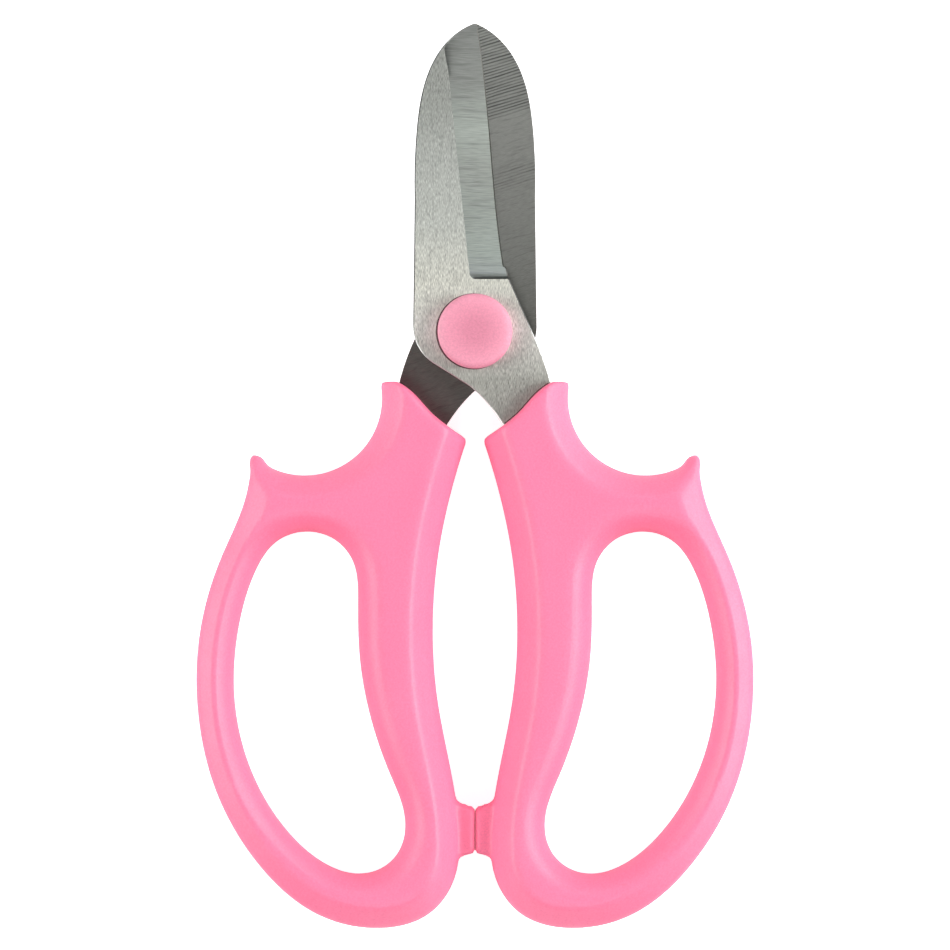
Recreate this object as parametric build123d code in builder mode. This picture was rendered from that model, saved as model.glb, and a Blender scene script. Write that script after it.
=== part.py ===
from build123d import *
import math
import os

# Floral snips, lying flat and closed: two stamped steel blades on a bolted pivot, each with a
# moulded loop handle. Millimetres. The origin is on the pivot axis, at the flat face of the rear
# cap, which rests on the table. +Y runs along the tool to the tips, +X to the right-hand loop and
# +Z up through the thickness. The two halves are one shape, turned over about the long axis.

# Thicknesses and the pivot
overall_thickness = 13.0
blade_thickness = 2.5
blade_gap = 0.1
running_clearance = 0.05
shank_radius = 3.0
shank_flat = 2.4
cap_radius = 7.0
cap_rim_radius = 1.1
cap_gap = 0.1
seat_clearance = 0.02
head_radius = 5.2
head_height = 2.2
head_chamfer = 0.4
thread_radius = 2.4
thread_chamfer = 0.3
socket_across_flats = 4.0
socket_depth = 1.3
washer_radius = 5.0
washer_thickness = 0.4
nut_across_flats = 9.0
nut_height = 2.2
spring_thickness = 0.25
spring_bore_clearance = 0.15
spring_height = 0.45

# Blade plan: the spine is on the left and the tang goes to the right
tip = (-0.25, 57.9)
spine_points = [tip, (-4.6, 55.0), (-8.4, 49.4), (-10.2, 43.4), (-11.0, 37.0), (-11.3, 25.0)]
spine_end = (-11.6, 1.0)
heel_end = (-8.0, -5.8)
crotch = (-0.9, -10.3)
tang_inner_points = [crotch, (2.8, -14.0), (5.3, -17.5), (9.4, -26.0), (12.0, -40.0), (12.4, -56.0)]
tang_end_middle = (14.9, -58.4)
tang_outer_points = [(17.3, -56.0), (17.1, -36.0), (15.8, -18.0), (14.1, -9.0), (11.3, -1.3)]
ricasso_corner = (6.4, 9.8)
edge_step = (5.9, 12.0)
edge_points = [(5.4, 12.3), (4.1, 22.3), (2.9, 36.1), (1.9, 46.6), (1.0, 53.8), tip]
tang_keys = [(12.9, -27.0), (14.7, -44.0)]
tang_key_radius = 1.5

# Grind of the blade: a flat bevel from the grind line down to the cutting edge
grind_foot = (-0.9, 9.8)
grind_head = (-5.3, 51.7)
bevel_width = 6.4
bevel_drop = 2.1
plunge_radius = 1.0
plunge_reach = 60.0

# Handle plan: one smooth edge runs from the neck, round the loop, to the outer horn
neck_corner = (1.45, -20.2)
outer_horn = (42.0, -23.4)
loop_edge_points = [
    neck_corner, (4.5, -30.3), (7.0, -42.8), (7.9, -56.5), (7.0, -69.3), (4.7, -81.5),
    (3.0, -93.0), (4.1, -103.5), (8.6, -109.4), (18.4, -112.1), (29.8, -109.3), (40.7, -99.9),
    (48.3, -87.0), (52.1, -70.0), (51.7, -57.0), (47.5, -42.1), (43.4, -32.3), outer_horn,
]
finger_rest_centre = (32.0, -12.9)
finger_rest_radius = 14.5
neck_top_right = (17.9, -9.4)
neck_top_left = (14.6, -9.4)
neck_end_points = [neck_top_left, (11.5, -11.6), (8.2, -15.2), (5.3, -17.6), neck_corner]
tip_rounding = 0.7
finger_hole_points = [
    (32.0, -37.6), (26.2, -39.2), (22.9, -43.3), (22.0, -50.5), (21.7, -61.0), (19.5, -73.0),
    (16.0, -83.1), (13.2, -91.5), (14.0, -97.0), (17.6, -100.8), (22.6, -101.8), (28.2, -99.9),
    (34.8, -94.3), (41.0, -84.8), (44.6, -73.5), (45.3, -64.5), (44.2, -54.5), (41.2, -44.9), (37.2, -39.4),
]

# Handle section
side_height = 4.4
bevel_inset = 4.4
bevel_run_out = 7.0
rest_overrun = 20.0
cutter_margin = 1.5
finger_hole_rounding = 4.0

# Stop lugs, which meet on the centre line when the snips are closed
stop_gap = 0.3
stop_height = 8.0
stop_chamfer = 0.9
stop_points = [
    (stop_gap / 2, -88.7), (3.4, -87.5), (6.5, -87.5), (6.5, -98.8), (3.4, -98.8), (stop_gap / 2, -97.9),
]

# Places and heights that follow from them
mid_plane = overall_thickness / 2
handle_half = overall_thickness / 2
front_blade_base = mid_plane + blade_gap / 2
front_blade_top = front_blade_base + blade_thickness
rear_blade_top = mid_plane - blade_gap / 2
rear_blade_base = rear_blade_top - blade_thickness
head_base = front_blade_top + running_clearance + washer_thickness
nut_top = rear_blade_base - spring_height
cap_depth = overall_thickness - front_blade_top - cap_gap
nut_cavity_radius = nut_across_flats / math.sqrt(3) + seat_clearance
nut_cavity_depth = rear_blade_base - cap_gap - nut_top + nut_height + seat_clearance
head_cavity_depth = head_base + head_height - front_blade_top - cap_gap + seat_clearance
turned_over = Axis((0, 0, mid_plane), (0, 1, 0))


def point_on_finger_rest(angle):
    """A point of the finger rest's circle at an angle in degrees."""
    turn = math.radians(angle)
    return (
        finger_rest_centre[0] + finger_rest_radius * math.cos(turn),
        finger_rest_centre[1] + finger_rest_radius * math.sin(turn),
    )


# The stamping that both blades start from
with BuildSketch() as blade_outline:
    with BuildLine():
        spine = Spline(*spine_points)
        straight_spine = Line(spine @ 1, spine_end)
        TangentArc(spine_end, heel_end, tangent=straight_spine % 1)
        Line(heel_end, crotch)
        Spline(*tang_inner_points)
        ThreePointArc(tang_inner_points[-1], tang_end_middle, tang_outer_points[0])
        Spline(*tang_outer_points)
        Polyline(tang_outer_points[-1], ricasso_corner, edge_step, edge_points[0])
        Spline(*edge_points)
    make_face()

# The wedge that the grinding wheel takes off the outer face, ending in a square plunge
grind_direction = (grind_head[0] - grind_foot[0], grind_head[1] - grind_foot[1], 0)
plunge_plane = Plane(origin=(*grind_foot, front_blade_top), x_dir=(1, 0, 0), z_dir=(0, 1, 0))
with BuildPart() as ground_wedge:
    with BuildSketch(plunge_plane):
        with BuildLine():
            Polyline(
                (0, 0),
                (2 * bevel_width, 2 * bevel_drop),
                (2 * bevel_width, -bevel_drop),
                (0, -bevel_drop),
                close=True,
            )
        make_face()
    extrude(amount=plunge_reach, dir=grind_direction)
    fillet(ground_wedge.faces().sort_by(Axis.Y)[0].edges().sort_by(Axis.Z)[0], plunge_radius)

# Both blades before their pivot holes, in the front blade's place
with BuildPart() as blade_blank:
    with BuildSketch(Plane.XY.offset(front_blade_base)):
        add(blade_outline.sketch)
    extrude(amount=blade_thickness)
    with BuildSketch(Plane.XY.offset(front_blade_base)):
        with Locations(*tang_keys):
            Circle(tang_key_radius)
    extrude(amount=blade_thickness, mode=Mode.SUBTRACT)
    add(ground_wedge.part, mode=Mode.SUBTRACT)

with BuildPart() as front_blade:
    add(blade_blank.part)
    with BuildSketch(Plane.XY.offset(front_blade_base)):
        Circle(shank_radius + running_clearance)
    extrude(amount=blade_thickness, mode=Mode.SUBTRACT)
front_blade.part.label = "front_blade"

with BuildPart() as rear_blade:
    add(blade_blank.part.rotate(turned_over, 180))
    with BuildSketch(Plane.XY.offset(rear_blade_base)):
        Circle(shank_radius + seat_clearance)
        Rectangle(2 * (shank_flat + seat_clearance), 4 * shank_radius, mode=Mode.INTERSECT)
    extrude(amount=blade_thickness, mode=Mode.SUBTRACT)
rear_blade.part.label = "rear_blade"

# Handle outline, from the neck round the loop to the outer horn, and back along the finger rest
horn_rise = outer_horn[1] - finger_rest_centre[1]
neck_rise = neck_top_right[1] - finger_rest_centre[1]
horn_angle = math.degrees(math.asin(horn_rise / finger_rest_radius))
neck_angle = -180 - math.degrees(math.asin(neck_rise / finger_rest_radius))
rest_middle_angle = (horn_angle + neck_angle) / 2

with BuildSketch() as handle_outline:
    with BuildLine():
        loop_edge = Spline(*loop_edge_points)
        finger_rest = ThreePointArc(
            loop_edge @ 1, point_on_finger_rest(rest_middle_angle), point_on_finger_rest(neck_angle)
        )
        Line(finger_rest @ 1, neck_top_left)
        Spline(*neck_end_points)
    make_face()
    tips = [loop_edge @ 0, loop_edge @ 1, finger_rest @ 1]
    tip_corners = handle_outline.vertices().filter_by(lambda vertex: vertex.center() in tips)
    fillet(tip_corners, tip_rounding)

# The strip that a bevel takes off above the handle's side, as a section to sweep along an edge:
# across from the edge into the handle, and up from the mid-plane
bevel_slope = (handle_half - side_height / 2) / bevel_inset
bevel_section = [
    (-cutter_margin, side_height / 2 - cutter_margin * bevel_slope),
    (bevel_inset + cutter_margin, handle_half + cutter_margin * bevel_slope),
    (-cutter_margin, handle_half + cutter_margin * bevel_slope),
]

with BuildLine() as loop_bevel_path:
    run_in = Line((loop_edge @ 0) - (loop_edge % 0) * bevel_run_out, loop_edge @ 0)
    add(loop_edge)
    Line(loop_edge @ 1, (loop_edge @ 1) + (loop_edge % 1) * bevel_run_out)

with BuildLine() as rest_bevel_path:
    rest_sweep = neck_angle - horn_angle - 2 * rest_overrun
    CenterArc(finger_rest_centre, finger_rest_radius, horn_angle + rest_overrun, rest_sweep)


def bevel_along(path):
    """The strip that the upper bevel takes off along a path with the handle on its left."""
    start = path @ 0
    along = path % 0
    section_plane = Plane(origin=(start.X, start.Y, mid_plane), x_dir=(-along.Y, along.X, 0), z_dir=along)
    with BuildPart() as strip:
        with BuildSketch(section_plane):
            with BuildLine():
                Polyline(*bevel_section, close=True)
            make_face()
        sweep(path=path)
    return strip.part


upper_bevels = [bevel_along(path.wires()[0]) for path in (loop_bevel_path, rest_bevel_path)]
lower_bevels = [bevel.mirror(Plane.XY.offset(mid_plane)) for bevel in upper_bevels]

# The right-hand moulding before the tang takes its place in it
with BuildPart() as grip:
    with BuildSketch():
        add(handle_outline.sketch)
        with BuildLine():
            Spline(*finger_hole_points, periodic=True)
        make_face(mode=Mode.SUBTRACT)
    extrude(amount=overall_thickness)
    hole_rims = grip.edges().filter_by(lambda edge: edge.is_closed)
    fillet(hole_rims, finger_hole_rounding)
    add(upper_bevels + lower_bevels, mode=Mode.SUBTRACT)
    with BuildSketch(Plane.XY.offset(mid_plane - stop_height / 2)):
        with BuildLine():
            Polyline(*stop_points, close=True)
        make_face()
    extrude(amount=stop_height)
    stop_face_edges = grip.faces().sort_by(Axis.X)[0].edges()
    chamfer(stop_face_edges, stop_chamfer)

with BuildPart() as right_handle:
    add(grip.part)
    add(front_blade.part, mode=Mode.SUBTRACT)
right_handle.part.label = "right_handle"

with BuildPart() as left_handle:
    add(grip.part.rotate(turned_over, 180))
    add(rear_blade.part, mode=Mode.SUBTRACT)
left_handle.part.label = "left_handle"

# Pivot screw: a round head with a hexagon socket, a bearing length and two flats below it
with BuildPart() as pivot_screw:
    with BuildSketch(Plane.XY.offset(head_base)):
        Circle(head_radius)
    extrude(amount=head_height)
    chamfer(pivot_screw.edges().sort_by(Axis.Z)[-1], head_chamfer)
    with BuildSketch(Plane.XY.offset(head_base + head_height)):
        RegularPolygon(socket_across_flats / 2, 6, major_radius=False)
    extrude(amount=-socket_depth, mode=Mode.SUBTRACT)
    with BuildSketch(Plane.XY.offset(rear_blade_top)):
        Circle(shank_radius)
    extrude(amount=head_base - rear_blade_top)
    with BuildSketch(Plane.XY.offset(nut_top)):
        Circle(shank_radius)
        Rectangle(2 * shank_flat, 4 * shank_radius, mode=Mode.INTERSECT)
    extrude(amount=rear_blade_top - nut_top)
    with BuildSketch(Plane.XY.offset(nut_top - nut_height)):
        Circle(thread_radius)
    extrude(amount=nut_height)
    chamfer(pivot_screw.edges().sort_by(Axis.Z)[0], thread_chamfer)
pivot_screw.part.label = "pivot_screw"

with BuildPart() as pivot_nut:
    with BuildSketch(Plane.XY.offset(nut_top - nut_height)):
        RegularPolygon(nut_across_flats / 2, 6, major_radius=False)
        Circle(thread_radius + seat_clearance, mode=Mode.SUBTRACT)
    extrude(amount=nut_height)
pivot_nut.part.label = "pivot_nut"

with BuildPart() as head_washer:
    with BuildSketch(Plane.XY.offset(front_blade_top + running_clearance)):
        Circle(washer_radius)
        Circle(shank_radius + seat_clearance, mode=Mode.SUBTRACT)
    extrude(amount=washer_thickness)
head_washer.part.label = "head_washer"

# Conical spring washer between the nut and the rear blade, flat rimmed where it bears
with BuildPart() as spring_washer:
    with BuildSketch(Plane.XZ):
        with BuildLine():
            Polyline(
                (shank_radius + spring_bore_clearance, nut_top),
                (washer_radius, rear_blade_base - spring_thickness),
                (washer_radius, rear_blade_base),
                (shank_radius + spring_bore_clearance, nut_top + spring_thickness),
                close=True,
            )
        make_face()
    revolve(axis=Axis.Z)
spring_washer.part.label = "spring_washer"

# Round caps pressed over the screw head and over the nut
with BuildPart() as front_cap:
    with BuildSketch(Plane.XY.offset(front_blade_top + cap_gap)):
        Circle(cap_radius)
    extrude(amount=cap_depth)
    fillet(front_cap.edges().sort_by(Axis.Z)[-1], cap_rim_radius)
    with BuildSketch(Plane.XY.offset(front_blade_top + cap_gap)):
        Circle(head_radius + seat_clearance)
    extrude(amount=head_cavity_depth, mode=Mode.SUBTRACT)
front_cap.part.label = "front_cap"

with BuildPart() as rear_cap:
    with BuildSketch():
        Circle(cap_radius)
    extrude(amount=cap_depth)
    fillet(rear_cap.edges().sort_by(Axis.Z)[0], cap_rim_radius)
    with BuildSketch(Plane.XY.offset(rear_blade_base - cap_gap)):
        Circle(nut_cavity_radius)
    extrude(amount=-nut_cavity_depth, mode=Mode.SUBTRACT)
rear_cap.part.label = "rear_cap"

os.makedirs("parts", exist_ok=True)
pieces = [
    front_blade,
    rear_blade,
    left_handle,
    right_handle,
    pivot_screw,
    pivot_nut,
    head_washer,
    spring_washer,
    front_cap,
    rear_cap,
]
for piece in pieces:
    export_step(piece.part, f"parts/{piece.part.label}.step")
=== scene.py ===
"""Looks for the floral snips: moulded pink handles, ground steel blades and pivot caps on a pale floor."""
import math

import bmesh
import bpy
import numpy as np
import openvdb
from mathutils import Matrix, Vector


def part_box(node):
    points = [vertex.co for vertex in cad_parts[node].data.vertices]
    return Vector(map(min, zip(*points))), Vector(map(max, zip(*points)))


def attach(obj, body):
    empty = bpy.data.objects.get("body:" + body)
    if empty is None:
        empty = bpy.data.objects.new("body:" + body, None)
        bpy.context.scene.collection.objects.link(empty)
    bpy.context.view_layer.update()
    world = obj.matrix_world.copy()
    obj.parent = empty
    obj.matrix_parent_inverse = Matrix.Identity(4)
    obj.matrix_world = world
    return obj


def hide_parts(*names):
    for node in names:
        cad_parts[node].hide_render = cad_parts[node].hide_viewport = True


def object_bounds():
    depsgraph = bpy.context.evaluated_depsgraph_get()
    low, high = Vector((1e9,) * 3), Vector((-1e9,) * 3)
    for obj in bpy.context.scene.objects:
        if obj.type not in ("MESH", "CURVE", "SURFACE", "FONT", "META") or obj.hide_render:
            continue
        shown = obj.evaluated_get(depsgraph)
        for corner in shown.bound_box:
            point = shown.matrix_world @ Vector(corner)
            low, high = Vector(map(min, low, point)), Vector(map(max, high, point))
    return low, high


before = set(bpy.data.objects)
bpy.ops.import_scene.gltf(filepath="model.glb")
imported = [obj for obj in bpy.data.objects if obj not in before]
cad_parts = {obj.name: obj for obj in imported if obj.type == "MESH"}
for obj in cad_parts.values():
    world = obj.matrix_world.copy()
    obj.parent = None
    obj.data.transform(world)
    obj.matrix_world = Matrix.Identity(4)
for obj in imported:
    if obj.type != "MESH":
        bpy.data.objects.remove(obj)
cad_low, cad_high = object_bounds()

MM = 0.001

# ---------------------------------------------------------------- heights from the frame, in millimetres
MIDDLE_Z = (cad_low.z + cad_high.z) / 2 / MM
HANDLE_HALF = (cad_high.z - cad_low.z) / 2 / MM
BLADE_LOW, BLADE_HIGH = (corner.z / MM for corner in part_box("front_blade"))
CAP_LOW, CAP_HIGH = (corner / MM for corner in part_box("front_cap"))

# ---------------------------------------------------------------- picture, in metres
VIEW_SPAN = 0.1774
VIEW_CENTRE_Y = -0.02693
FLOOR_HALF = 6.0
FLOOR_GAP = 0.0002

# ---------------------------------------------------------------- right-hand handle, in millimetres
NECK_CORNER = (1.45, -20.2)
OUTER_HORN = (42.0, -23.4)
LOOP_EDGE = [
    NECK_CORNER, (4.5, -30.3), (7.0, -42.8), (7.9, -56.5), (7.0, -69.3), (4.7, -81.5),
    (3.0, -93.0), (4.1, -103.5), (8.6, -109.4), (18.4, -112.1), (29.8, -109.3), (40.7, -99.9),
    (48.3, -87.0), (52.1, -70.0), (51.7, -57.0), (47.5, -42.1), (43.4, -32.3), OUTER_HORN,
]
REST_CENTRE = (32.0, -12.5)
REST_RADIUS = 14.5
HORN_TIP = (40.8, -24.5)
HORN_ROUND = 0.8
HORN_POST = 1.2
NECK_TOP = (17.9, -9.4)
NECK_END = [(14.6, -9.4), (11.5, -11.6), (8.2, -15.2), (5.3, -17.6), NECK_CORNER]
FINGER_HOLE = [
    (32.0, -37.6), (26.2, -39.2), (22.9, -43.3), (22.0, -50.5), (21.7, -61.0), (19.5, -73.0),
    (16.0, -83.1), (13.2, -91.5), (14.0, -97.0), (17.6, -100.8), (22.6, -101.8), (28.2, -99.9),
    (34.8, -94.3), (41.0, -84.8), (44.6, -73.5), (45.3, -64.5), (44.2, -54.5), (41.2, -44.9), (37.2, -39.4),
]
EDGE_RUN_OUT = 9.0

# Section of the handle: its upright side and the rise of the bevel above it, near the pivot and outwards
INNER_EDGE = (1.5, 1.04)
OUTER_EDGE = (3.2, 0.62)
OUTER_FROM, OUTER_FULL = 14.0, 38.0
EDGE_SOFT = 1.0
REST_SIDE = 2.2
REST_SOFT = 1.5
REST_BLEND = 1.4
CREST_INSET = 4.3
REST_INSET = 4.7
NECK_INSET = 2.0
NECK_ROUND = (2.2, 2.0)
NECK_BLEND = 0.8

# Its hole, rounded over wider in the loop's thin outer side, whose crests are sharper
HOLE_ROUND = (7.2, 6.4)
RING_WIDER = 1.8
RING_FROM, RING_FULL = 34.0, 44.0
HOLE_BLEND, RING_HOLE_BLEND = 0.9, 0.25
FACE_BLEND, RING_FACE_BLEND = 1.5, 0.8
DISH = 0.2
DISH_REACH = 2.6
HORN_BLEND = 2.0

# The grid that the handle's surface is made on
VOXEL = 0.4
HANDLE_PLAN = ((0.0, -112.2), (52.3, -9.0))
HANDLE_MARGIN = 1.4
BAND = 3.0

# Painted contact shadow: dark lines round the necks and the caps, as thin near-black tubes; the caps' rings
# sit shifted to one side like a cast shadow
SHADOW_LINE_RADIUS = 0.26
SHADOW_LINE_SIDES = 8
CAP_SHADOW_SHIFT = 0.25

# Stop lug: its face near the centre line, the groove above that, its two sloping ends and its upper bevel
STOP_FACE = 0.01
STOP_GROOVE = 0.28
STOP_GROOVE_DEPTH = 0.9
STOP_ROOT = 7.0
STOP_TOP = ((0.0, -88.7), (3.4, -87.5))
STOP_BOTTOM = ((0.0, -97.9), (3.4, -98.8))
STOP_HALF = 1.4
STOP_BEVEL = 1.3
STOP_BLEND = 0.7

# ---------------------------------------------------------------- front blade, in millimetres
TIP = (-0.25, 57.9)
SPINE = [TIP, (-4.6, 55.0), (-8.4, 49.4), (-10.2, 43.4), (-11.0, 37.0), (-11.3, 25.0)]
SPINE_END = (-11.6, 1.0)
HEEL_END = (-8.0, -5.8)
CROTCH = (-0.9, -10.3)
TANG_INNER = [CROTCH, (2.8, -14.0), (5.3, -17.5), (9.4, -26.0), (12.0, -40.0), (12.4, -56.0)]
TANG_OUTER = [(11.3, -1.3), (14.1, -9.0), (15.8, -18.0), (17.1, -36.0), (17.3, -56.0)]
TIP_END = (0.4, 57.7)
CUTTING_EDGE = [TIP_END, (1.0, 53.8), (1.9, 46.6), (2.9, 36.1), (4.1, 22.3), (5.4, 12.3)]
EDGE_STEP = (5.9, 12.0)
RICASSO = (6.4, 9.8)
TANG_FOOT = -57.6
GRIND_FOOT = (-0.9, 9.8)
GRIND_HEAD = (-5.3, 51.7)
GRIND_SLOPE = 2.1 / 6.4
GRIND_CURL = 0.35
GRIND_CURL_REACH = 3.5
GRIND_CURL_FROM = 47.5
PLUNGE_RADIUS = 1.0
PLUNGE_RUN = 0.9
EDGE_BREAK = 0.2
RIM_SLOPE = 0.4
HONED_WIDTH = 0.22
EDGE_THICKNESS = 0.08
SHANK_RADIUS = 3.0

# Grinding ridges across a blade's inner face, from the tip down to their last one
RIDGE_PITCH = 0.593
RIDGE_LEAN = math.radians(17)
RIDGE_DEPTH = 0.07
RIDGE_FOOT = 38.6
RIDGE_FADE = 0.6
RIDGE_SHARPNESS = 0.6
RIDGE_PATCH = 27.0
RIDGE_PATCH_REACH = 2.6
RIDGE_PATCH_SHARE = 0.55

# Spacing of the blade's rows of points, and how many columns each face has
TIP_REACH = 3.0
TIP_ROWS = 36
RIDGED_STEP, LOWER_STEP, PLAIN_STEP, TANG_STEP = 0.1, 0.13, 0.2, 0.45
LOWER_END = 24.0
FLAT_COLUMNS = 12
BEVEL_COLUMNS = 16
INNER_COLUMNS = 80
PLAN_SCALE = 0.01
FINISHES = ["flat", "bevel", "inner", "rim", "honed"]


# ---------------------------------------------------------------- curves and distances
def curve_through(points, closed=False, step=0.5):
    """Points at most a step apart along the smooth curve through some points."""
    knots = np.array(points + points[:1] if closed else points, float)
    chord = np.linalg.norm(np.diff(knots, axis=0), axis=1)
    slope = np.diff(knots, axis=0) / chord[:, None]
    last = len(knots) - 1
    matrix, target = np.zeros((last + 1, last + 1)), np.zeros((last + 1, 2))
    for i in range(1, last):
        matrix[i, i - 1 : i + 2] = chord[i - 1], 2 * (chord[i - 1] + chord[i]), chord[i]
        target[i] = 6 * (slope[i] - slope[i - 1])
    if closed:
        matrix[0, [0, 1, last - 1]] = 2 * (chord[-1] + chord[0]), chord[0], chord[-1]
        target[0] = 6 * (slope[0] - slope[-1])
        matrix[last, [0, last]] = 1, -1
    else:
        matrix[0, :2] = 1, -1
        matrix[last, -2:] = -1, 1
    bend = np.linalg.solve(matrix, target)
    runs = []
    for i in range(last):
        count = max(2, math.ceil(chord[i] / step))
        ahead = np.arange(count)[:, None] / count
        behind = 1 - ahead
        cubic = (behind**3 - behind) * bend[i] + (ahead**3 - ahead) * bend[i + 1]
        runs.append(behind * knots[i] + ahead * knots[i + 1] + cubic * chord[i] ** 2 / 6)
    return np.vstack(runs + [knots[-1:]])


def run_out(line, length):
    """A line with straight ends added along its end directions."""
    start, end = line[0] - line[1], line[-1] - line[-2]
    first = line[0] + start / np.linalg.norm(start) * length
    last = line[-1] + end / np.linalg.norm(end) * length
    return np.vstack([first, line, last])


def distance_left(points, line, batch=4000):
    """Each point's distance from a line, positive on the left of the line's travel."""
    starts, steps = line[:-1], np.diff(line, axis=0)
    length2 = (steps**2).sum(1)
    out = np.empty(len(points))
    for low in range(0, len(points), batch):
        to_x = points[low : low + batch, 0, None] - starts[:, 0]
        to_y = points[low : low + batch, 1, None] - starts[:, 1]
        share = np.clip((to_x * steps[:, 0] + to_y * steps[:, 1]) / length2, 0, 1)
        far2 = (to_x - share * steps[:, 0]) ** 2 + (to_y - share * steps[:, 1]) ** 2
        near = far2.argmin(1)
        rows = np.arange(len(near))
        side = steps[near, 0] * to_y[rows, near] - steps[near, 1] * to_x[rows, near]
        out[low : low + batch] = np.sqrt(far2[rows, near]) * np.sign(side)
    return out


def x_at(line, y):
    """Where a line that only goes down crosses each height y."""
    return np.interp(y, line[::-1, 1], line[::-1, 0])


def turned_over(points):
    """Points of the front half turned over about the Y axis, onto the rear half."""
    return points * (-1, 1, -1) + (0, 0, 2 * MIDDLE_Z)


def soft_max(a, b, width):
    """The larger of two distances, rounded over where they're within a width of each other."""
    mix = np.maximum(width - np.abs(a - b), 0)
    return np.maximum(a, b) + mix * mix / (4 * width)


def ease(value, start, end):
    """A smooth step from 0 at start to 1 at end."""
    share = np.clip((value - start) / (end - start), 0, 1)
    return share * share * (3 - 2 * share)


# ---------------------------------------------------------------- handles
LOOP_LINE = run_out(curve_through(LOOP_EDGE), EDGE_RUN_OUT)
NECK_LINE = run_out(np.vstack([[NECK_TOP], curve_through(NECK_END)]), EDGE_RUN_OUT)
HOLE_LINE = curve_through(FINGER_HOLE, closed=True)


def plan_distances(x, y):
    """How far points are inside the loop's edge and the neck, and outside the hole and the finger rest."""
    points = np.stack([x.ravel(), y.ravel()], 1)
    loop = distance_left(points, LOOP_LINE)
    neck = distance_left(points, NECK_LINE)
    hole = -distance_left(points, HOLE_LINE)
    rest = np.hypot(*(points - REST_CENTRE).T) - REST_RADIUS
    return [distance.reshape(x.shape) for distance in (loop, neck, hole, rest)]


def bevelled_edge(inside, height, side, rise, softness):
    """Distance from an edge with an upright side and a flat bevel that rises above it."""
    return soft_max(-inside, (height - side - rise * inside) / np.hypot(1, rise), softness)


def rounded_edge(inside, height, across, up):
    """Distance from an edge that is rounded over in a quarter ellipse, up to the handle's face."""
    level = np.maximum(across - inside, 0) / across
    rise = np.maximum(height - (HANDLE_HALF - up), 0) / up
    return (np.hypot(level, rise) - 1) * up


def stop_lug(x, y, height):
    """Distance from the lug that meets the other handle's when the snips close."""
    ends = []
    for (x0, y0), (x1, y1), side in ((*STOP_TOP, 1), (*STOP_BOTTOM, -1)):
        lean = (y1 - y0) / (x1 - x0)
        ends.append(side * (y - y0 - lean * x) / math.hypot(1, lean))
    field = soft_max(*ends, 0.6)
    field = soft_max(field, height - STOP_HALF, 0.8)
    field = soft_max(field, (2 * (ends[0] + STOP_BEVEL) + height - STOP_HALF) / math.sqrt(5), 0.5)
    groove = STOP_GROOVE * np.clip((height - STOP_HALF) / STOP_GROOVE_DEPTH + 1, 0, 1)
    field = soft_max(field, STOP_FACE + groove - x, 0.2)
    return soft_max(field, x - STOP_ROOT, 0.5)


def horn_tip(x, y, height):
    """Distance from the short round post that makes the outer horn's tip blunt."""
    across = np.hypot(x - HORN_TIP[0], y - HORN_TIP[1])
    return np.hypot(across, np.maximum(height - HORN_POST, 0)) - HORN_ROUND


def handle_field(x, y, z, distances):
    """The right-hand handle as a distance, negative inside it."""
    loop, neck, hole, rest = distances
    height = np.abs(z)
    outward = ease(x, OUTER_FROM, OUTER_FULL)
    ring = ease(x, RING_FROM, RING_FULL)
    side, rise = (a + (b - a) * outward for a, b in zip(INNER_EDGE, OUTER_EDGE))
    inside = np.minimum(rest - REST_INSET, neck - NECK_INSET)
    inside = np.minimum(inside, np.minimum(loop, hole) - CREST_INSET)
    dish = DISH * (1 - np.exp(-((np.maximum(inside, 0) / DISH_REACH) ** 2)))
    rest_rise = (HANDLE_HALF - REST_SIDE) / REST_INSET
    field = bevelled_edge(loop, height, side, rise, EDGE_SOFT)
    field = soft_max(field, bevelled_edge(rest, height, REST_SIDE, rest_rise, REST_SOFT), REST_BLEND)
    field = soft_max(field, rounded_edge(neck, height, *NECK_ROUND), NECK_BLEND)
    field = soft_max(field, height - HANDLE_HALF + dish, FACE_BLEND + (RING_FACE_BLEND - FACE_BLEND) * ring)
    across, up = HOLE_ROUND
    hole_edge = rounded_edge(hole, height, across + RING_WIDER * ring, up)
    field = soft_max(field, hole_edge, HOLE_BLEND + (RING_HOLE_BLEND - HOLE_BLEND) * ring)
    field = -soft_max(-field, -horn_tip(x, y, height), HORN_BLEND)
    return -soft_max(-field, -stop_lug(x, y, height), STOP_BLEND)


def handle_surface():
    """Vertices and quads of the right-hand handle, about its middle height, in millimetres."""
    low = [edge - HANDLE_MARGIN for edge in (*HANDLE_PLAN[0], -HANDLE_HALF)]
    high = [edge + HANDLE_MARGIN for edge in (*HANDLE_PLAN[1], HANDLE_HALF)]
    x, y, z = (np.arange(a, b, VOXEL) for a, b in zip(low, high))
    plan_x, plan_y = np.meshgrid(x, y, indexing="ij")
    distances = [d[:, :, None] for d in plan_distances(plan_x, plan_y)]
    field = handle_field(plan_x[:, :, None], plan_y[:, :, None], z[None, None, :], distances)
    grid = openvdb.FloatGrid(BAND)
    grid.copyFromArray(np.clip(field, -BAND, BAND).astype(np.float32))
    points, quads = grid.convertToQuads(isovalue=0.0)
    points = points.astype(float) * VOXEL + low
    quads = quads[:, ::-1].astype(int)
    for _ in range(2):
        points = settle(points, quads)
    return points, quads


def corner_normals(points, quads):
    """Unit normals at the points of a quad surface."""
    across = np.cross(points[quads[:, 2]] - points[quads[:, 0]], points[quads[:, 3]] - points[quads[:, 1]])
    normals = np.zeros_like(points)
    for corner in range(4):
        for axis in range(3):
            normals[:, axis] += np.bincount(quads[:, corner], across[:, axis], len(points))
    return normals / np.linalg.norm(normals, axis=1, keepdims=True)


def settle(points, quads):
    """Moves a surface's points along their normals onto the handle's true surface."""
    x, y, z = points.T
    off = handle_field(x, y, z, plan_distances(x, y))
    return points - np.clip(off, -VOXEL, VOXEL)[:, None] * corner_normals(points, quads)


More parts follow.
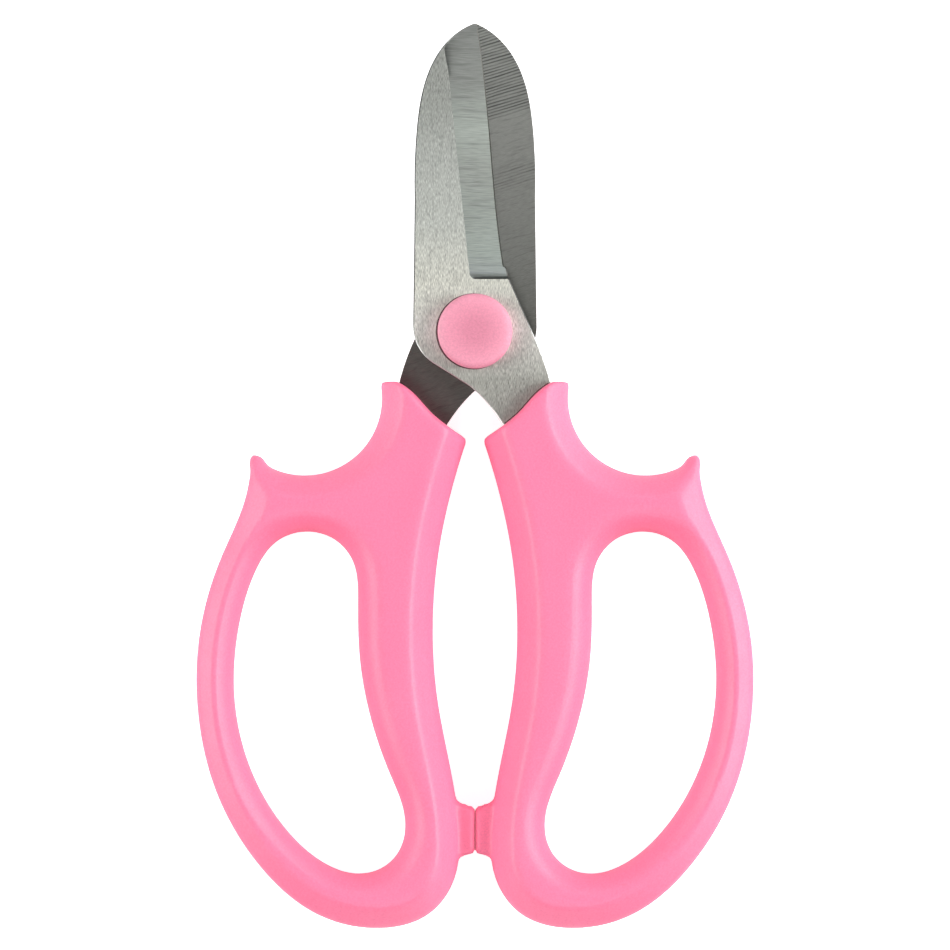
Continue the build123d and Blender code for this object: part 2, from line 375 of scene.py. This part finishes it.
def mesh_from(name, points, faces):
    """A smooth mesh from points in millimetres."""
    mesh = bpy.data.meshes.new(name)
    mesh.from_pydata((np.asarray(points) * MM).tolist(), [], faces)
    mesh.update()
    mesh.shade_smooth()
    return mesh


def add_piece(name, mesh, body, node=None):
    """Puts a mesh in the scene as a piece on a body, which may stand for a CAD node."""
    piece = bpy.data.objects.new(name, mesh)
    bpy.context.scene.collection.objects.link(piece)
    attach(piece, body)
    if node:
        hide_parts(node)
    return piece


def add_handles(material):
    """Both handles: the left one is the right one's mirror image."""
    points, quads = handle_surface()
    for side, body, sign in (("right", "right_half", 1), ("left", "left_half", -1)):
        placed = points * (sign, 1, 1) + (0, 0, MIDDLE_Z)
        mesh = mesh_from(f"{side}_handle_moulding", placed, quads[:, ::sign].tolist())
        mesh.materials.append(material)
        add_piece(f"{side}_handle_moulding", mesh, body, f"{side}_handle")


# ---------------------------------------------------------------- painted shadow lines
def ring_tube(centre, ring_radius, radius, turns=96, sides=SHADOW_LINE_SIDES):
    """Points and quads of a thin ring that lies flat."""
    points, quads = [], []
    for i in range(turns):
        angle = i * math.tau / turns
        outward = np.array([math.cos(angle), math.sin(angle), 0])
        after = (i + 1) % turns
        for k in range(sides):
            lift = k * math.tau / sides
            far = ring_radius + radius * math.cos(lift)
            points.append(centre + outward * far + np.array([0, 0, radius * math.sin(lift)]))
            beside = (k + 1) % sides
            quads.append([i * sides + k, after * sides + k, after * sides + beside, i * sides + beside])
    return np.array(points), quads


def add_shadow_line(name, points, faces, body, material):
    """A thin dark line of painted shadow as a piece of its own."""
    mesh = mesh_from(name, points, faces)
    mesh.materials.append(material)
    add_piece(name, mesh, body)


def tube(line, radius, sides=SHADOW_LINE_SIDES):
    """Points and quads of a thin closed tube along a line of points."""
    ahead = np.gradient(line, axis=0)
    ahead /= np.linalg.norm(ahead, axis=1, keepdims=True)
    across = np.stack([-ahead[:, 1], ahead[:, 0], 0 * ahead[:, 0]], 1)
    points, quads = [], []
    for i, (place, side) in enumerate(zip(line, across)):
        for k in range(sides):
            angle = k * math.tau / sides
            points.append(place + radius * (side * math.cos(angle) + np.array([0, 0, math.sin(angle)])))
            beside = (k + 1) % sides
            if i:
                before, here = (i - 1) * sides, i * sides
                quads.append([before + k, before + beside, here + beside, here + k])
    ends = [list(range(sides))[::-1], list(range(len(points) - sides, len(points)))]
    return np.array(points), quads + ends


def add_shadow_lines(material):
    """Painted contact shadow: thin dark lines where the handles' necks close on the blades' faces, and
    round the caps' feet, where the rings sit shifted to one side like a cast shadow.
    """
    x, y = NECK_LINE.T
    within = x > x_at(curve_through(TANG_INNER), y) + SHADOW_LINE_RADIUS
    within &= x < x_at(curve_through(TANG_OUTER), y) - SHADOW_LINE_RADIUS
    route = NECK_LINE[within]
    for face, height in (("outer", BLADE_HIGH), ("inner", BLADE_LOW)):
        points, faces = tube(np.hstack([route, np.full((len(route), 1), height)]), SHADOW_LINE_RADIUS)
        for side, placed in (("right", points), ("left", turned_over(points))):
            add_shadow_line(f"{side}_neck_shadow_line_{face}", placed, faces, f"{side}_half", material)
    for side, height, sign in (("front", BLADE_HIGH, 1), ("rear", 2 * MIDDLE_Z - BLADE_HIGH, -1)):
        # The ring is shifted to one side, as a cast shadow would fall: painted shadow.
        centre = np.array([-CAP_SHADOW_SHIFT * sign, 0, height])
        points, faces = ring_tube(centre, CAP_HIGH.x - SHADOW_LINE_RADIUS / 2, SHADOW_LINE_RADIUS)
        add_shadow_line(f"{side}_cap_shadow_line", points, faces, "left_half", material)


# ---------------------------------------------------------------- blades
def heel_arc():
    """Points round the heel, on the arc that leaves the spine's foot straight down."""
    start, end = np.array(SPINE_END), np.array(HEEL_END)
    down = start - np.array(SPINE[-1])
    down = down / np.linalg.norm(down)
    inward = np.array([-down[1], down[0]])
    radius = ((end - start) ** 2).sum() / (2 * (end - start) @ inward)
    centre = start + radius * inward
    first, last = (math.atan2(*(p - centre)[::-1]) % math.tau for p in (start, end))
    angles = np.linspace(first, last, 16)[1:]
    return centre + radius * np.stack([np.cos(angles), np.sin(angles)], 1)


LEFT_LINE = np.vstack([curve_through(SPINE), [SPINE_END], heel_arc(), curve_through(TANG_INNER)])
RIGHT_LINE = np.vstack([curve_through(CUTTING_EDGE), [EDGE_STEP, RICASSO], curve_through(TANG_OUTER)])


def grind_line(y):
    """The x of the line where the blade's flat meets its ground bevel."""
    share = (y - GRIND_FOOT[1]) / (GRIND_HEAD[1] - GRIND_FOOT[1])
    return GRIND_FOOT[0] + share * (GRIND_HEAD[0] - GRIND_FOOT[0])


def blade_heights():
    """The heights y of the blade's rows of points, closest together at the ridges and the plunge."""
    tip = TIP[1] - 0.02 - TIP_REACH * np.linspace(0, 1, TIP_ROWS) ** 1.6
    ridged = np.arange(tip[-1] - RIDGED_STEP, RIDGE_FOOT - 2.0, -RIDGED_STEP)
    lower = np.arange(ridged[-1] - LOWER_STEP, LOWER_END, -LOWER_STEP)
    plain = np.arange(lower[-1] - PLAIN_STEP, GRIND_FOOT[1] + PLUNGE_RADIUS + 0.1, -PLAIN_STEP)
    plunge = GRIND_FOOT[1] + PLUNGE_RADIUS * np.linspace(1, 0, 12)
    tang = np.arange(GRIND_FOOT[1] - 0.3, TANG_FOOT, -TANG_STEP)
    return np.concatenate([tip, ridged, lower, plain, plunge, tang, [TANG_FOOT]])


def inner_ridges(x, y):
    """How far a blade's inner face lies behind the plane that its tallest grinding ridges can reach."""
    across = y + x * math.tan(RIDGE_LEAN)
    across = across + 0.05 * np.sin(across * 1.7) + 0.04 * np.sin(across * 0.6 + x * 0.5)
    wave = (0.5 + 0.5 * np.sin(across * math.tau / RIDGE_PITCH)) ** RIDGE_SHARPNESS
    uneven = 0.72 + 0.28 * np.sin(across * 2.9 + 0.7) * np.sin(across * 0.83 + x * 0.45)
    above_foot = np.clip((across - RIDGE_FOOT) / RIDGE_FADE, 0, 1)
    patch = RIDGE_PATCH_SHARE * np.exp(-(((across - RIDGE_PATCH) / RIDGE_PATCH_REACH) ** 2))
    return RIDGE_DEPTH * (1 - (1 - wave) * uneven * np.maximum(above_foot, patch))


def blade_top(y, left, right, ground):
    """The x and z of a blade's outer face, row by row: the rim, the flat, the bevel and the honed edge."""
    width = right - left
    rim = np.minimum(EDGE_BREAK, 0.2 * width)
    honed = np.where(ground, np.minimum(HONED_WIDTH, 0.3 * width), rim)
    rising = np.maximum(y - GRIND_CURL_FROM, 0)
    line = grind_line(y) - GRIND_CURL * (1 - np.exp(-((rising / GRIND_CURL_REACH) ** 2)))
    below = np.clip(GRIND_FOOT[1] + PLUNGE_RADIUS - y, 0, PLUNGE_RADIUS)
    corner = PLUNGE_RADIUS - np.sqrt(PLUNGE_RADIUS**2 - below**2)
    wall = np.clip(line + corner, left + rim + 0.02 * width, right - honed - 0.2 * width)
    along_flat = np.linspace(0, 1, FLAT_COLUMNS + 1)
    along_bevel = np.linspace(0, 1, BEVEL_COLUMNS + 1)
    flat = (left + rim)[:, None] * (1 - along_flat) + wall[:, None] * along_flat
    foot = wall + 0.02 * width
    bevel = foot[:, None] * (1 - along_bevel) + (right - honed)[:, None] * along_bevel
    x = np.hstack([left[:, None], flat, bevel, right[:, None]])
    rise = np.clip((y - GRIND_FOOT[1]) / PLUNGE_RUN, 0, 1)
    soft = (0.02 + 0.14 * rising)[:, None]
    past = x - line[:, None]
    sunk = GRIND_SLOPE * (past + np.hypot(past, soft)) / 2 * np.sqrt(rise * (2 - rise))[:, None]
    sunk[:, 1 : FLAT_COLUMNS + 2] *= (rising > 0)[:, None]
    z = BLADE_HIGH - sunk
    z[:, 0] -= RIM_SLOPE * rim
    z[:, -1] = np.where(ground, BLADE_LOW + EDGE_THICKNESS, BLADE_HIGH - RIM_SLOPE * rim)
    return x, z


def blade_surface():
    """Points, faces and each face's finish for the front blade: every row is a ring round its section."""
    y = blade_heights()
    left, right = x_at(LEFT_LINE, y), x_at(RIGHT_LINE, y)
    ground = y > GRIND_FOOT[1]
    top_x, top_z = blade_top(y, left, right, ground)
    back = np.linspace(1, 0, INNER_COLUMNS + 1)
    low_x = left[:, None] * (1 - back) + right[:, None] * back
    low_z = BLADE_LOW + inner_ridges(low_x, y[:, None])
    from_edge = np.minimum(right[:, None] - low_x, 1.0)
    low_z = np.minimum(low_z, BLADE_LOW + EDGE_THICKNESS / 2 + 0.5 * from_edge)
    top = top_x.shape[1]
    ring = top + INNER_COLUMNS + 1
    x, z = np.hstack([top_x, low_x]), np.hstack([top_z, low_z])
    points = np.stack([x, np.repeat(y[:, None], ring, 1), z], -1).reshape(-1, 3)
    row, place = (index.ravel() for index in np.indices((len(y) - 1, ring)))
    after = (place + 1) % ring
    here, below = row * ring, (row + 1) * ring
    quads = np.stack([here + place, below + place, below + after, here + after], 1)
    finish = np.full(len(quads), FINISHES.index("flat"))
    on_bevel = (place > FLAT_COLUMNS) & (place < top - 1) & ground[row]
    finish[on_bevel] = FINISHES.index("bevel")
    finish[(place >= top) & (place < ring - 1)] = FINISHES.index("inner")
    rim = (place == 0) | (place == top - 1) | (place == ring - 1) | ((place == top - 2) & ~ground[row])
    finish[rim] = FINISHES.index("rim")
    finish[((place == top - 2) | (place == top - 1)) & ground[row]] = FINISHES.index("honed")
    ends = [list(range(ring)), list(range(len(points) - 1, len(points) - ring - 1, -1))]
    return points, quads.tolist() + ends, finish.tolist() + [FINISHES.index("rim")] * 2


def cut_bore(piece):
    """Cuts the pivot's round bore through a piece."""
    mesh = bpy.data.meshes.new("bore")
    tool = bmesh.new()
    bmesh.ops.create_cone(
        tool, cap_ends=True, segments=64, radius1=SHANK_RADIUS * MM, radius2=SHANK_RADIUS * MM,
        depth=4 * HANDLE_HALF * MM,
    )
    tool.to_mesh(mesh)
    tool.free()
    cutter = bpy.data.objects.new("bore", mesh)
    bpy.context.scene.collection.objects.link(cutter)
    cut = piece.modifiers.new("bore", "BOOLEAN")
    cut.operation = "DIFFERENCE"
    cut.object = cutter
    bpy.context.view_layer.update()
    done = bpy.data.meshes.new_from_object(piece.evaluated_get(bpy.context.evaluated_depsgraph_get()))
    piece.modifiers.clear()
    piece.data = done
    bpy.data.objects.remove(cutter)


def add_blades(materials):
    """Both blades: the rear one is the front one turned over about the Y axis."""
    points, faces, finish = blade_surface()
    ridge = (inner_ridges(points[:, 0], points[:, 1]) / RIDGE_DEPTH).astype(np.float32)
    halves = (("front", "right_half", points), ("rear", "left_half", turned_over(points)))
    for side, body, placed in halves:
        mesh = bpy.data.meshes.new(f"{side}_blade_ground")
        mesh.from_pydata((placed * MM).tolist(), [], faces)
        for material in materials:
            mesh.materials.append(material)
        mesh.polygons.foreach_set("material_index", finish)
        mesh.attributes.new("ridge", "FLOAT", "POINT").data.foreach_set("value", ridge)
        corners = np.empty(len(mesh.loops), np.int32)
        mesh.loops.foreach_get("vertex_index", corners)
        plan = (placed[corners, :2] * PLAN_SCALE).astype(np.float32)
        mesh.uv_layers.new(name="plan").uv.foreach_set("vector", plan.ravel())
        mesh.update()
        mesh.shade_smooth()
        mesh.set_sharp_from_angle(angle=math.radians(12))
        piece = add_piece(f"{side}_blade_ground", mesh, body, f"{side}_blade")
        cut_bore(piece)


# ---------------------------------------------------------------- pivot caps
CAP_TURNS = 96
CAP_BORE = 5.6
CAP_ROOF = 1.2
CAP_PROFILE = [
    (0.0, -0.06), (1.5, -0.055), (3.0, -0.03), (4.0, -0.01), (4.7, -0.02), (5.3, -0.07), (5.8, -0.16),
    (6.25, -0.31), (6.6, -0.52), (6.83, -0.78), (6.96, -1.05), (7.0, -1.35),
]


def add_cap(name, node, upward, material):
    """A lathed cap with a faintly dished face and a rounded rim."""
    low, high = (corner.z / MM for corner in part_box(node))
    face, foot = (high, low) if upward else (low, high)
    sign = 1 if upward else -1
    roof = face - sign * CAP_ROOF
    profile = [(r, face + sign * z) for r, z in CAP_PROFILE]
    profile += [(CAP_PROFILE[-1][0], foot), (CAP_BORE, foot), (CAP_BORE, roof), (0.0, roof)]
    turns = CAP_TURNS
    angle = np.arange(turns) * math.tau / turns
    points, faces = [(0.0, 0.0, profile[0][1])], []
    for r, z in profile[1:-1]:
        points += [(r * math.cos(a), r * math.sin(a), z) for a in angle]
    points.append((0.0, 0.0, profile[-1][1]))
    rings = len(profile) - 2
    for i in range(turns):
        j = (i + 1) % turns
        faces.append([0, 1 + i, 1 + j])
        for k in range(rings - 1):
            a, b = 1 + k * turns, 1 + (k + 1) * turns
            faces.append([a + i, b + i, b + j, a + j])
        end = 1 + (rings - 1) * turns
        faces.append([end + i, len(points) - 1, end + j])
    if not upward:
        faces = [corners[::-1] for corners in faces]
    mesh = mesh_from(name, points, faces)
    mesh.set_sharp_from_angle(angle=math.radians(40))
    mesh.materials.append(material)
    add_piece(name, mesh, "left_half", node)


# ---------------------------------------------------------------- materials
def new_material(name, **values):
    """A material with its Principled shader's own sockets set."""
    material = bpy.data.materials.new(name)
    material.use_nodes = True
    shader = material.node_tree.nodes["Principled BSDF"]
    for socket, value in values.items():
        shader.inputs[socket.replace("_", " ")].default_value = value
    return material, shader


class Nodes:
    """Short calls that add and join a material's nodes."""

    def __init__(self, material):
        self.tree = material.node_tree
        self.shader = self.tree.nodes["Principled BSDF"]
        self.place = self.tree.nodes.new("ShaderNodeTexCoord").outputs["Object"]

    def add(self, kind, inputs=(), **settings):
        """A node with some settings and inputs; an input is a value or another node's output."""
        node = self.tree.nodes.new(kind)
        for key, value in settings.items():
            setattr(node, key, value)
        for key, value in dict(inputs).items():
            if isinstance(value, bpy.types.NodeSocket):
                self.tree.links.new(value, node.inputs[key])
            else:
                node.inputs[key].default_value = value
        return node

    def scaled(self, scale, turn=0.0):
        """Object coordinates turned about Z and then stretched."""
        turned = self.add("ShaderNodeMapping", {"Vector": self.place, "Rotation": (0, 0, turn)}).outputs[0]
        return self.add("ShaderNodeMapping", {"Vector": turned, "Scale": scale}).outputs[0]

    def along(self, low, high):
        """How far along Y a point is, from 0 at low to 1 at high, in millimetres."""
        y = self.add("ShaderNodeSeparateXYZ", {"Vector": self.place}).outputs["Y"]
        spans = {"Value": y, "From Min": low * MM, "From Max": high * MM}
        return self.add("ShaderNodeMapRange", spans).outputs[0]

    def noise(self, scale, detail=2.0, vector=None, roughness=0.5):
        """Noise from 0 to 1 whose cells are about 1/scale metres across."""
        inputs = {"Vector": vector or self.place, "Scale": scale, "Detail": detail, "Roughness": roughness}
        return self.add("ShaderNodeTexNoise", inputs).outputs["Fac"]

    def ramp(self, value, *stops):
        """Colours or greys along a value."""
        node = self.add("ShaderNodeValToRGB", {"Fac": value})
        elements = node.color_ramp.elements
        while len(elements) < len(stops):
            elements.new(0.5)
        for element, (place, colour) in zip(elements, stops):
            element.position = place
            grey = isinstance(colour, (int, float))
            element.color = (colour, colour, colour, 1) if grey else (*colour, 1)
        return node.outputs["Color"]

    def span(self, value, start, end, low, high):
        """A value's stretch from start to end, spread from low to high."""
        inputs = {"Value": value, "From Min": start, "From Max": end, "To Min": low, "To Max": high}
        return self.add("ShaderNodeMapRange", inputs).outputs[0]

    def maths(self, operation, *values):
        """The result of a maths node."""
        return self.add("ShaderNodeMath", dict(enumerate(values)), operation=operation).outputs[0]

    def mix(self, factor, first, second, blend="MIX"):
        """One colour mixed with another."""
        node = self.add("ShaderNodeMix", data_type="RGBA", blend_type=blend)
        for index, value in ((0, factor), (6, first), (7, second)):
            if isinstance(value, bpy.types.NodeSocket):
                self.tree.links.new(value, node.inputs[index])
            else:
                node.inputs[index].default_value = value if index == 0 else (*value, 1)
        return node.outputs[2]

    def bump(self, height, strength, distance):
        """A bump normal from a height."""
        inputs = {"Height": height, "Strength": strength, "Distance": distance}
        return self.add("ShaderNodeBump", inputs).outputs[0]

    def join(self, **sockets):
        """Links outputs to the shader's sockets."""
        for socket, value in sockets.items():
            self.tree.links.new(value, self.shader.inputs[socket.replace("_", " ")])


def plastic_material(name, colour, shade, roughness, rim=None):
    """Moulded plastic: faint clouding, uneven gloss and a fine grain; for a cap, a face that grows lighter
    out to its rim, a painted highlight.
    """
    material, _ = new_material(name, IOR=1.5)
    nodes = Nodes(material)
    tint = nodes.ramp(nodes.noise(60, 3), (0.3, shade), (0.7, colour))
    speckle = nodes.noise(2400, 3, roughness=0.7)
    tint = nodes.mix(1.0, tint, nodes.span(speckle, 0.36, 0.64, 0.925, 1.075), "MULTIPLY")
    # A cap grows lighter from its centre out to its rim: a painted highlight where the rounded rim catches
    # the lamps.
    if rim:
        flat = nodes.add("ShaderNodeVectorMath", {0: nodes.place, 1: (1, 1, 0)}, operation="MULTIPLY")
        radius = nodes.add("ShaderNodeVectorMath", {0: flat.outputs[0]}, operation="LENGTH")
        share = nodes.maths("DIVIDE", radius.outputs["Value"], (CAP_HIGH.x - CAP_LOW.x) / 2 * MM)
        rim = nodes.mix(1.0, rim, nodes.span(speckle, 0.36, 0.64, 0.925, 1.075), "MULTIPLY")
        tint = nodes.mix(nodes.ramp(share, (0.25, 0.0), (0.85, 1.0)), tint, rim)
    nodes.join(
        Base_Color=tint,
        Roughness=nodes.ramp(nodes.noise(180, 4), (0.3, roughness - 0.04), (0.7, roughness + 0.05)),
        Normal=nodes.bump(speckle, 0.6, 0.00006),
    )
    return material


def steel_material(
    name, tones, grain, lines, roughness, turn=0.0, spread=0.0, swing=0.0, speckle=0.16, ridged=False,
):
    """Ground steel: tones along the blade, which for the blade's finishes carry painted light and shade as
    well as the steel's colour, fine grain and sparser deep lines, both along one direction.
    """
    material, _ = new_material(name, Metallic=1.0, Anisotropic=spread, Anisotropic_Rotation=swing)
    nodes = Nodes(material)
    if spread:
        tangent = nodes.add("ShaderNodeTangent", direction_type="UV_MAP", uv_map="plan")
        nodes.join(Tangent=tangent.outputs[0])
    low, high = tones[0][0], tones[-1][0]
    stops = [((y - low) / (high - low), colour) for y, colour in tones]
    tone = nodes.ramp(nodes.along(low, high), *stops)
    fine = nodes.noise(1.0, 2, nodes.scaled(grain, turn))
    deep = nodes.noise(1.0, 3, nodes.scaled(lines, turn))
    colour = nodes.mix(1.0, tone, nodes.span(fine, 0.3, 0.7, 1 - speckle, 1 + speckle), "MULTIPLY")
    colour = nodes.mix(1.0, colour, nodes.span(deep, 0.32, 0.46, 0.84, 1.0), "MULTIPLY")
    # On the ridged face the valleys are painted darker and the crests lighter: painted shade and light over
    # the real ridges.
    if ridged:
        ridge = nodes.add("ShaderNodeAttribute", attribute_name="ridge").outputs["Fac"]
        colour = nodes.mix(1.0, colour, nodes.span(ridge, 0.25, 0.95, 0.32, 1.32), "MULTIPLY")
    nodes.join(
        Base_Color=colour,
        Roughness=nodes.ramp(fine, (0.25, roughness - 0.06), (0.75, roughness + 0.08)),
        Normal=nodes.bump(nodes.maths("ADD", fine, deep), 0.3, 0.00003),
    )
    return material


def blade_materials():
    """The blade's finishes: brushed flat, ground bevel, dark ground inner face, rim and honed edge; their
    tones along the blade carry painted light and shade.
    """
    # Flat: brightness along the blade as the lamps light it, brightest just beside the pivot: painted
    # light.
    flat = [
        (-20, (0.42, 0.42, 0.385)), (-9, (0.425, 0.425, 0.385)), (0, (0.86, 0.86, 0.80)),
        (9, (0.70, 0.70, 0.625)), (20, (0.565, 0.585, 0.54)), (32, (0.49, 0.51, 0.475)),
        (44, (0.38, 0.395, 0.365)), (57, (0.35, 0.36, 0.335)),
    ]
    # Bevel: a dark band at its foot is painted shade in the plunge's hollow; the rest follows its
    # brightness under the lamps, painted light and shade.
    bevel = [
        (9.8, (0.13, 0.14, 0.13)), (10.6, (0.19, 0.205, 0.195)), (11.2, (0.37, 0.405, 0.39)),
        (15, (0.38, 0.425, 0.39)), (30, (0.355, 0.38, 0.35)), (38, (0.42, 0.46, 0.42)),
        (47, (0.29, 0.305, 0.285)), (57, (0.27, 0.28, 0.265)),
    ]
    # Inner face: darker towards the tang, partly dark oxide and partly painted shade under the front blade;
    # lighter towards the tip, painted light.
    inner = [
        (-20, (0.118, 0.108, 0.100)), (-3, (0.115, 0.108, 0.100)), (3, (0.185, 0.185, 0.170)),
        (15, (0.24, 0.245, 0.228)), (30, (0.30, 0.305, 0.285)), (57, (0.37, 0.38, 0.355)),
    ]
    # Rim: pale below the pivot, a painted highlight along the heel's and tang's edges, and dark above it.
    pale, dark = (0.62, 0.62, 0.60), (0.07, 0.07, 0.068)
    rim = [(-60, pale), (-4, pale), (2, dark), (60, dark)]
    # Honed edge: near-black, painted shadow of the narrow gap between the blades beside the cutting edge.
    honed = [
        (9, (0.06, 0.06, 0.055)), (36, (0.05, 0.05, 0.045)),
        (44, (0.13, 0.13, 0.12)), (58, (0.16, 0.16, 0.15)),
    ]
    return [
        steel_material(
            "blade_flat", flat, (11000, 1300, 900), (2600, 240, 240), 0.40, spread=0.8, speckle=0.34,
        ),
        steel_material(
            "blade_bevel", bevel, (300, 9000, 800), (90, 1800, 200), 0.36, spread=0.85, swing=0.25,
        ),
        steel_material(
            "blade_inner", inner, (900, 11000, 800), (250, 2600, 200), 0.46, -RIDGE_LEAN,
            spread=0.7, swing=0.25, ridged=True,
        ),
        steel_material("blade_rim", rim, (900, 900, 900), (300, 300, 300), 0.35),
        steel_material("blade_honed", honed, (300, 2000, 800), (90, 600, 200), 0.4),
    ]


# ---------------------------------------------------------------- camera, floor and lights
def add_camera():
    """A long lens straight above, with the snips upright in the picture."""
    data = bpy.data.cameras.new("camera")
    data.lens = 200
    data.clip_end = 20
    camera = bpy.data.objects.new("camera", data)
    camera.location = (0, VIEW_CENTRE_Y, VIEW_SPAN / data.sensor_width * data.lens + cad_high.z)
    bpy.context.scene.collection.objects.link(camera)
    bpy.context.scene.camera = camera


def add_floor():
    """A plain pale floor that glows for the camera's own rays, to look white as paper."""
    mesh = bpy.data.meshes.new("floor")
    corners = [(x * FLOOR_HALF, y * FLOOR_HALF, 0) for x, y in ((-1, -1), (1, -1), (1, 1), (-1, 1))]
    mesh.from_pydata(corners, [], [(0, 1, 2, 3)])
    floor = bpy.data.objects.new("floor", mesh)
    floor.location.z = cad_low.z - FLOOR_GAP
    bpy.context.scene.collection.objects.link(floor)
    material, _ = new_material(
        "floor_paper", Base_Color=(0.9, 0.9, 0.9, 1), Roughness=0.8,
        Emission_Color=(1, 1, 1, 1), Emission_Strength=0.12,
    )
    glow = Nodes(material)
    seen = glow.add("ShaderNodeLightPath").outputs["Is Camera Ray"]
    paper = glow.add("ShaderNodeEmission", {"Color": (0.7, 0.7, 0.7, 1), "Strength": seen}).outputs[0]
    both = glow.add("ShaderNodeAddShader", {0: glow.shader.outputs[0], 1: paper}).outputs[0]
    glow.tree.links.new(both, glow.tree.nodes["Material Output"].inputs["Surface"])
    mesh.materials.append(material)


def add_light(name, place, width, power):
    """A soft box that faces the snips."""
    data = bpy.data.lights.new(name, "AREA")
    data.shape = "RECTANGLE"
    data.size = width
    data.size_y = 0.5
    data.energy = power
    light = bpy.data.objects.new(name, data)
    light.location = place
    aim = Vector((0, VIEW_CENTRE_Y, 0)) - light.location
    light.rotation_mode = "QUATERNION"
    light.rotation_quaternion = aim.to_track_quat("-Z", "Y")
    light.visible_camera = False
    bpy.context.scene.collection.objects.link(light)


def add_lights():
    """Soft boxes round the snips, strongest on the right, in a dim surround that brightens to the sides."""
    add_light("right_box", (0.95, -0.03, 0.55), 1.1, 11.6)
    add_light("left_box", (-0.95, -0.03, 0.55), 1.1, 9.4)
    add_light("key_box", (0.76, 0.60, 0.52), 0.5, 3.2)
    add_light("upper_box", (0.0, 0.80, 0.70), 0.5, 1.2)
    add_light("lower_box", (0.0, -0.64, 0.93), 0.5, 1.9)
    world = bpy.data.worlds.new("surround")
    world.use_nodes = True
    nodes, links = world.node_tree.nodes, world.node_tree.links
    direction = nodes.new("ShaderNodeTexCoord")
    parts = nodes.new("ShaderNodeSeparateXYZ")
    sideways = nodes.new("ShaderNodeMath")
    sideways.operation = "MULTIPLY"
    shade = nodes.new("ShaderNodeMapRange")
    seen = nodes.new("ShaderNodeLightPath")
    backdrop = nodes.new("ShaderNodeMath")
    backdrop.operation = "MAXIMUM"
    links.new(direction.outputs["Generated"], parts.inputs["Vector"])
    links.new(parts.outputs["X"], sideways.inputs[0])
    links.new(parts.outputs["X"], sideways.inputs[1])
    links.new(sideways.outputs[0], shade.inputs["Value"])
    links.new(shade.outputs[0], backdrop.inputs[0])
    links.new(seen.outputs["Is Camera Ray"], backdrop.inputs[1])
    links.new(backdrop.outputs[0], nodes["Background"].inputs["Strength"])
    shade.inputs["To Min"].default_value = 0.15
    shade.inputs["To Max"].default_value = 0.75
    nodes["Background"].inputs["Color"].default_value = (1, 1, 1, 1)
    bpy.context.scene.world = world
    bpy.context.scene.view_settings.view_transform = "Standard"


handle_pink = plastic_material("handle_pink", (0.985, 0.202, 0.345), (0.965, 0.192, 0.335), 0.42)
# The cap's lighter rim colour is a painted highlight.
cap_rim_highlight = (0.76, 0.29, 0.39)
cap_pink = plastic_material("cap_pink", (0.64, 0.22, 0.31), (0.62, 0.215, 0.30), 0.5, rim=cap_rim_highlight)
pivot_tones = [(-5, (0.60, 0.60, 0.58)), (5, (0.62, 0.62, 0.60))]
pivot_steel = steel_material("pivot_steel", pivot_tones, (900,) * 3, (300,) * 3, 0.3)
# Near-black colour for the painted contact-shadow lines at the necks and caps.
contact_shadow_dark = plastic_material("contact_shadow_dark", (0.10, 0.035, 0.04), (0.06, 0.025, 0.028), 0.6)
add_handles(handle_pink)
add_shadow_lines(contact_shadow_dark)
add_blades(blade_materials())
add_cap("front_cap_disc", "front_cap", True, cap_pink)
add_cap("rear_cap_disc", "rear_cap", False, cap_pink)
for node in ("pivot_screw", "pivot_nut", "head_washer", "spring_washer"):
    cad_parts[node].data.materials.clear()
    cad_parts[node].data.materials.append(pivot_steel)
add_camera()
add_floor()
add_lights()
